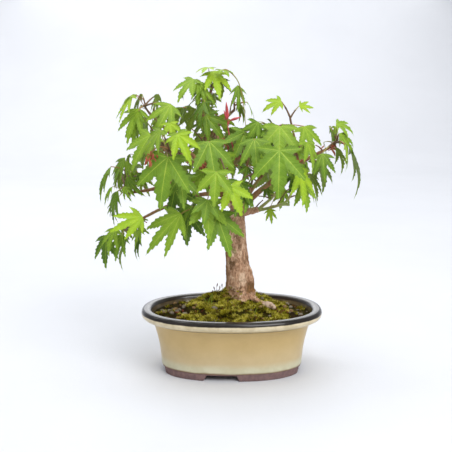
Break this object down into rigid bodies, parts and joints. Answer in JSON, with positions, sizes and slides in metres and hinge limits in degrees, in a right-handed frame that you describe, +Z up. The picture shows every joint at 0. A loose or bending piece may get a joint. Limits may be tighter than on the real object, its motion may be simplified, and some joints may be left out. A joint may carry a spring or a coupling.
{
  "type": "potted japanese maple bonsai",
  "caption": "Small Japanese maple bonsai with a tapering trunk, spreading boughs and hanging lobed leaves in an oval glazed pot on low feet.",
  "frame": {"origin": "on the ground that the pot's feet stand on, below the middle of the whole plant's length and depth", "axes": "+Z up the trunk, -Y towards the front of the plant, +X to the right as seen from the front"},
  "size_m": [0.2375, 0.1579, 0.2686],
  "materials": {
    "glaze": "gloss",
    "soil": "matte",
    "bark": "matte",
    "green_shoot": "satin",
    "leaves": "matte"
  },
  "bodies": {
    "root": {"back_bough": "bark", "back_left_bough": "bark", "back_right_bough": "bark", "far_right_bough": "bark", "foliage_apex": "leaves", "foliage_back": "leaves", "foliage_back_left": "leaves", "foliage_back_right": "leaves", "foliage_far_right": "leaves", "foliage_front": "leaves", "foliage_front_left": "leaves", "foliage_front_right": "leaves", "foliage_inner_right": "leaves", "foliage_left": "leaves", "foliage_low_front": "leaves", "foliage_low_left": "leaves", "foliage_mid_right": "leaves", "foliage_right": "leaves", "foliage_right_low": "leaves", "foliage_top_right": "leaves", "foliage_upper_left": "leaves", "foliage_upper_right": "leaves", "front_bough": "bark", "front_left_bough": "bark", "front_right_bough": "bark", "inner_right_bough": "bark", "leader": "bark", "left_bough": "bark", "low_front_shoot": "bark", "low_left_bough": "bark", "mid_right_bough": "bark", "pot": "glaze", "right_low_shoot": "green_shoot", "right_shoot": "green_shoot", "right_stub": "bark", "soil": "soil", "top_right_bough": "bark", "trunk": "bark", "trunk_upper": "bark", "upper_left_bough": "bark", "upper_right_twig": "bark"}
  },
  "joints": []
}
